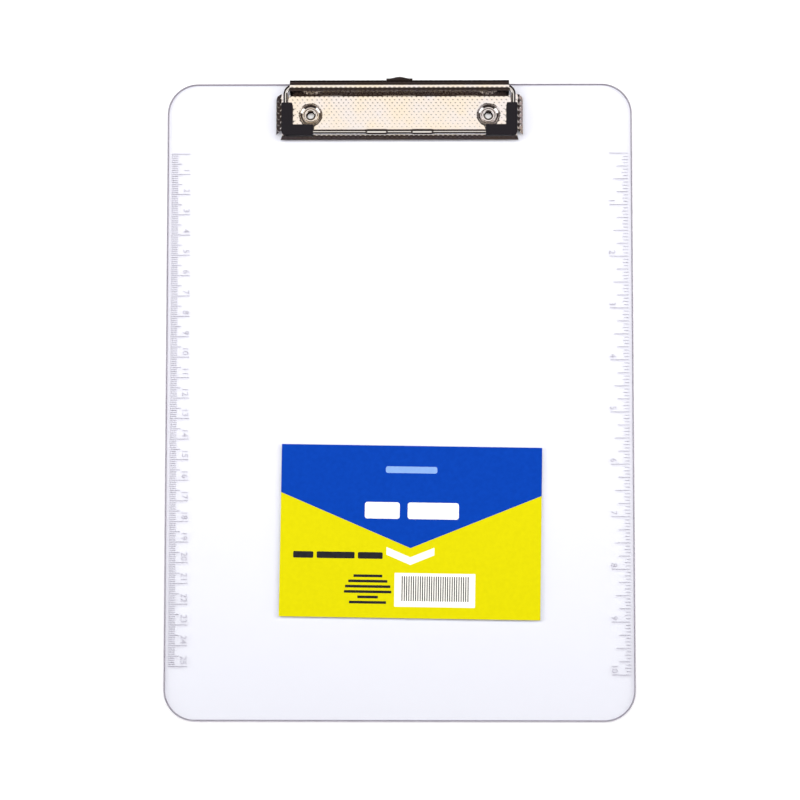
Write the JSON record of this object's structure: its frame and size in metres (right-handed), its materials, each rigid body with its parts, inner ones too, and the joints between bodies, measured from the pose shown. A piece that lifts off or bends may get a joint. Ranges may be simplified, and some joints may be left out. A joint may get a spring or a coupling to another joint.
{
  "type": "clipboard",
  "caption": "Clear plastic clipboard with a low sprung wire clip, rubber corner grips and ruler edges; holds loose sheets flat for writing.",
  "frame": {"origin": "centre of the board's flat back face", "axes": "+X to the right of the writing face, +Y along the board towards the clip, +Z out of the writing face"},
  "size_m": [0.228, 0.3139, 0.01],
  "materials": {
    "clear_plastic": "moulded clear polystyrene, polished",
    "nickel_plate": "bright nickel plate over steel sheet embossed with small round dots",
    "bright_eyelet": "bright nickel plate, smooth",
    "chrome_wire": "drawn steel wire, chrome plated",
    "spring_steel": "oiled spring wire",
    "black_rubber": "matte moulded rubber",
    "printed_paper": "coated paper sticker in two plain colours"
  },
  "bodies": {
    "board_body": {"board": "clear_plastic", "label": "printed_paper", "base_plate": "nickel_plate", "eyelet_left": "bright_eyelet", "eyelet_right": "bright_eyelet", "torsion_spring_left": "spring_steel", "torsion_spring_right": "spring_steel"},
    "jaw": {"wire_jaw": "chrome_wire", "lever": "nickel_plate", "corner_grip_left": "black_rubber", "corner_grip_right": "black_rubber"}
  },
  "joints": [
    {"name": "jaw_hinge", "type": "hinge", "parent": "board_body", "child": "jaw", "pos_m": [0, 0.153, 0.0069], "axis": [-1, 0, 0], "range_deg": [0, 36], "stiffness_Nm_per_rad": 0.25, "springref_deg": -51.57, "deforming": ["torsion_spring_left", "torsion_spring_right"]}
  ]
}
